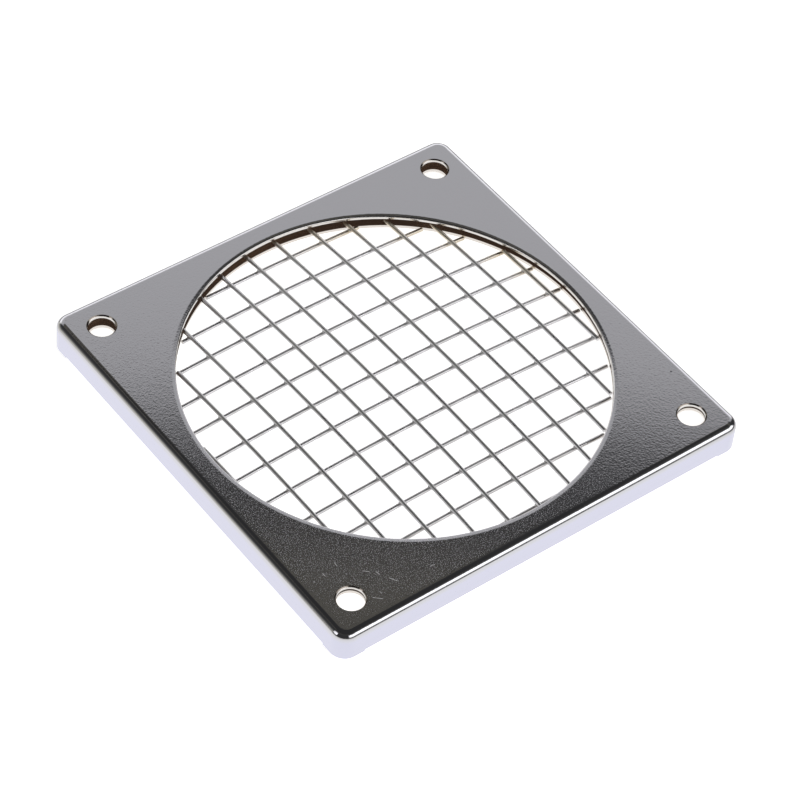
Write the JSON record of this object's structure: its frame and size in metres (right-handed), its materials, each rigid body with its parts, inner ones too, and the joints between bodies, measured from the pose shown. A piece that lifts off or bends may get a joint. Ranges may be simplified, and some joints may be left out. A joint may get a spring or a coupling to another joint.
{
  "type": "fan dust filter",
  "caption": "Square plated fan dust filter: pressed cover with corner screw holes, round crowned welded wire mesh and a backing plate.",
  "frame": {"origin": "middle of the square footprint, on the plane of the cover's four corner feet", "axes": "+Z out of the cover's face, away from the fan; long wires lie along Y, cross wires along X"},
  "size_m": [0.0842, 0.0842, 0.0064],
  "materials": {
    "cover_plating": "bright nickel plating over pressed sheet steel, faint orange peel",
    "plate_plating": "bright nickel plating over flat sheet steel",
    "wire_plating": "bright nickel plating over round steel wire"
  },
  "bodies": {
    "root": {"pressed_cover": "cover_plating", "backing_plate": "plate_plating", "long_wire_01": "wire_plating", "long_wire_02": "wire_plating", "long_wire_03": "wire_plating", "long_wire_04": "wire_plating", "long_wire_05": "wire_plating", "long_wire_06": "wire_plating", "long_wire_07": "wire_plating", "long_wire_08": "wire_plating", "long_wire_09": "wire_plating", "long_wire_10": "wire_plating", "long_wire_11": "wire_plating", "long_wire_12": "wire_plating", "cross_wire_01": "wire_plating", "cross_wire_02": "wire_plating", "cross_wire_03": "wire_plating", "cross_wire_04": "wire_plating", "cross_wire_05": "wire_plating", "cross_wire_06": "wire_plating", "cross_wire_07": "wire_plating", "cross_wire_08": "wire_plating", "cross_wire_09": "wire_plating", "cross_wire_10": "wire_plating", "cross_wire_11": "wire_plating", "cross_wire_12": "wire_plating"}
  },
  "joints": []
}
